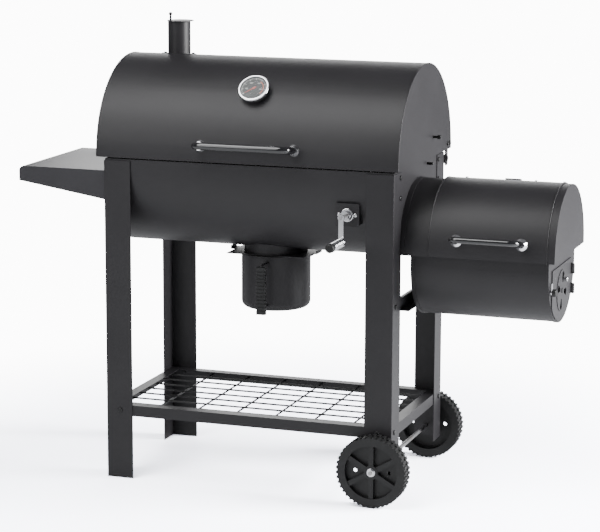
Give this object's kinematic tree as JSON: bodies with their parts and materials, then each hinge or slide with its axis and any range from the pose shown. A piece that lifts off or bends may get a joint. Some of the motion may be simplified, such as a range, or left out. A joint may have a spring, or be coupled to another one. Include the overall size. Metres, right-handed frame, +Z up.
{
  "type": "offset smoker",
  "caption": "Horizontal barrel smoker on angle-steel legs with wheels, an offset firebox, a hinged lid with a flue and thermometer, a crank-lifted coal pan, a side table and a grease pot.",
  "frame": {"origin": "centre of the whole smoker's footprint box, on the floor", "axes": "+X along the barrel towards the firebox, +Y from the front with the handles to the back, +Z up"},
  "size_m": [1.344, 0.6016, 1.1254],
  "materials": {
    "charcoal_coat": "satin",
    "table_coat": "satin",
    "wire_coat": "satin",
    "grate_steel": "satin",
    "pan_steel": "matte",
    "black_bolts": "satin",
    "bright_chrome": "polished",
    "dark_chrome": "polished",
    "black_plastic": "matte",
    "dial_black": "matte",
    "pointer_red": "satin",
    "clear_glass": "polished"
  },
  "bodies": {
    "frame": {"leg_front_left": "charcoal_coat", "leg_rear_left": "charcoal_coat", "leg_front_right": "charcoal_coat", "leg_rear_right": "charcoal_coat", "side_table": "table_coat", "shelf_rails_long": "charcoal_coat", "shelf_rails_short": "charcoal_coat", "shelf_wires": "wire_coat", "axle": "grate_steel", "axle_nuts": "bright_chrome", "crossbar": "charcoal_coat", "frame_bolts": "black_bolts", "barrel_shell": "charcoal_coat", "barrel_end_left": "charcoal_coat", "barrel_end_right": "charcoal_coat", "cooking_grates": "grate_steel", "crank_bracket": "charcoal_coat", "crank_bearing": "bright_chrome", "pot_holder": "charcoal_coat", "lid_hinge_brackets": "charcoal_coat", "firebox_collar": "charcoal_coat", "firebox_shell": "charcoal_coat", "firebox_end_left": "charcoal_coat", "firebox_end_right": "charcoal_coat", "fire_grate": "grate_steel", "firebox_hinge_brackets": "charcoal_coat"},
    "main_lid": {"lid_skin": "charcoal_coat", "lid_end_left": "charcoal_coat", "lid_end_right": "charcoal_coat", "lid_hinge_tabs": "charcoal_coat", "lid_handle": "dark_chrome", "lid_rosettes": "bright_chrome", "lid_fasteners": "black_bolts", "thermometer_case": "bright_chrome", "thermometer_dial": "dial_black", "thermometer_glass": "clear_glass", "chimney_tube": "charcoal_coat"},
    "chimney_damper": {"chimney_cap": "charcoal_coat", "cap_knob": "black_bolts"},
    "pointer": {"thermometer_pointer": "pointer_red"},
    "firebox_lid": {"firebox_lid_skin": "charcoal_coat", "firebox_lid_end": "charcoal_coat", "firebox_handle": "dark_chrome", "firebox_lid_fittings": "bright_chrome", "firebox_hinge_leaves": "charcoal_coat"},
    "ash_door_body": {"ash_door": "charcoal_coat"},
    "air_damper": {"damper_disc": "pan_steel", "damper_knob": "bright_chrome"},
    "door_latch": {"latch_tongue": "bright_chrome", "latch_knob": "black_plastic"},
    "crank": {"crank_shaft": "grate_steel", "crank_arm": "bright_chrome", "grip_knob": "black_plastic"},
    "crank_sleeve": {"crank_grip": "bright_chrome"},
    "coal_pan": {"charcoal_pan": "pan_steel"},
    "grease_pot": {"pot": "charcoal_coat", "pot_grip": "black_plastic"},
    "front_wheel": {"wheel_front": "black_plastic"},
    "rear_wheel": {"wheel_rear": "black_plastic"}
  },
  "joints": [
    {"name": "main_lid_hinge", "type": "hinge", "parent": "frame", "child": "main_lid", "pos_m": [-0.063, 0.26075, 0.77], "axis": [-1, 0, 0], "range_deg": [0, 90]},
    {"name": "chimney_cap_swivel", "type": "hinge", "parent": "main_lid", "child": "chimney_damper", "pos_m": [-0.3575, 0.08375, 1.104], "axis": [0, 0, 1], "range_deg": [0, 110]},
    {"name": "thermometer_turn", "type": "hinge", "parent": "main_lid", "child": "pointer", "pos_m": [-0.063, -0.10873, 0.9581], "axis": [0, 0.7133, -0.7009], "range_deg": [0, 250], "stiffness_Nm_per_rad": 0.0005},
    {"name": "firebox_lid_hinge", "type": "hinge", "parent": "frame", "child": "firebox_lid", "pos_m": [0.512, 0.18475, 0.5779], "axis": [-1, 0, 0], "range_deg": [0, 90]},
    {"name": "ash_door_hinge", "type": "hinge", "parent": "frame", "child": "ash_door_body", "pos_m": [0.66, 0.12875, 0.516], "axis": [0, 0, 1], "range_deg": [0, 110]},
    {"name": "air_damper_turn", "type": "hinge", "parent": "ash_door_body", "child": "air_damper", "pos_m": [0.657, 0.02475, 0.505], "axis": [1, 0, 0], "range_deg": [0, 45]},
    {"name": "door_latch_turn", "type": "hinge", "parent": "frame", "child": "door_latch", "pos_m": [0.657, -0.08125, 0.519], "axis": [-1, 0, 0], "range_deg": [0, 90]},
    {"name": "crank_turn", "type": "hinge", "parent": "frame", "child": "crank", "pos_m": [0.187, -0.16725, 0.688], "axis": [0, 1, 0], "range_deg": [0, 90]},
    {"name": "pan_lift", "type": "slide", "parent": "frame", "child": "coal_pan", "axis": [0, 0, 1], "range_m": [0, 0.06233]},
    {"name": "grip_spin", "type": "hinge", "parent": "crank", "child": "crank_sleeve", "pos_m": [0.187, -0.25125, 0.63], "axis": [0, 1, 0], "continuous": true},
    {"name": "pot_slide", "type": "slide", "parent": "frame", "child": "grease_pot", "axis": [0, -1, 0], "range_m": [0, 0.19]},
    {"name": "wheel_front_spin", "type": "hinge", "parent": "frame", "child": "front_wheel", "pos_m": [0.265, -0.19825, 0.086], "axis": [0, 1, 0], "continuous": true},
    {"name": "wheel_rear_spin", "type": "hinge", "parent": "frame", "child": "rear_wheel", "pos_m": [0.265, 0.27575, 0.086], "axis": [0, 1, 0], "continuous": true}
  ],
  "couplings": [
    {"joint": "pan_lift", "follows": "crank_turn", "m_per_rad": 0.039614}
  ]
}
